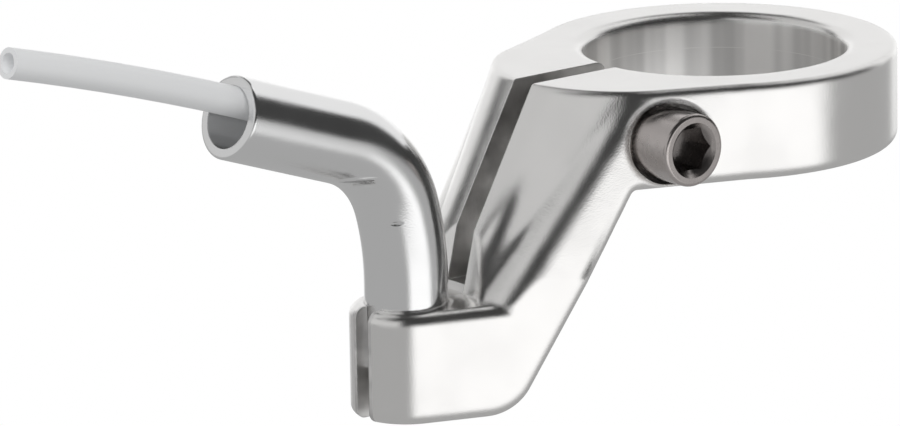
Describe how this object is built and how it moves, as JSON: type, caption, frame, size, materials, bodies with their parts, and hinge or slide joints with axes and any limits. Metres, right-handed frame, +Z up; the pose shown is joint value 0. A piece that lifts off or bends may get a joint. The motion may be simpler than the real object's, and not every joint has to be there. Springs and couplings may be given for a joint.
{
  "type": "derailleur cable guide clamp",
  "caption": "Clamp-on cable guide: a slotted aluminium seat-tube clamp ring with an angled arm, a pinch bolt, and a bent metal guide tube with a plastic liner.",
  "frame": {"origin": "centre of the clamp bore, half way up the ring", "axes": "+Z up along the seat tube, out of the ring's top face; the arm, block and guide tube lie on the -X side; the bolt head faces -Y"},
  "size_m": [0.1263, 0.0444, 0.0533],
  "materials": {
    "clamp_alloy": "polished and clear anodised, fine turned lines in the bore",
    "washer_steel": "stamped stainless steel",
    "bolt_steel": "cold headed stainless steel, slightly dull",
    "tube_metal": "polished",
    "liner_plastic": "milky translucent PTFE-like plastic"
  },
  "bodies": {
    "clamp": {"clamp_body": "clamp_alloy"},
    "washer": {"clamp_washer": "washer_steel"},
    "bolt": {"clamp_bolt": "bolt_steel"},
    "tube": {"guide_tube": "tube_metal", "liner": "liner_plastic"}
  },
  "joints": [
    {"name": "bolt_travel", "type": "slide", "parent": "clamp", "child": "washer", "axis": [0, -1, 0], "range_m": [0, 0.0048]},
    {"name": "bolt_turn", "type": "hinge", "parent": "washer", "child": "bolt", "pos_m": [-0.01985, -0.0134, -0.00052], "axis": [0, -1, 0], "range_deg": [0, 2160]},
    {"name": "tube_swivel", "type": "hinge", "parent": "clamp", "child": "tube", "pos_m": [-0.0478, 0, -0.018], "axis": [0, 0, 1], "range_deg": [-90, 90]}
  ],
  "couplings": [
    {"joint": "bolt_turn", "follows": "bolt_travel", "rad_per_m": 7854}
  ]
}
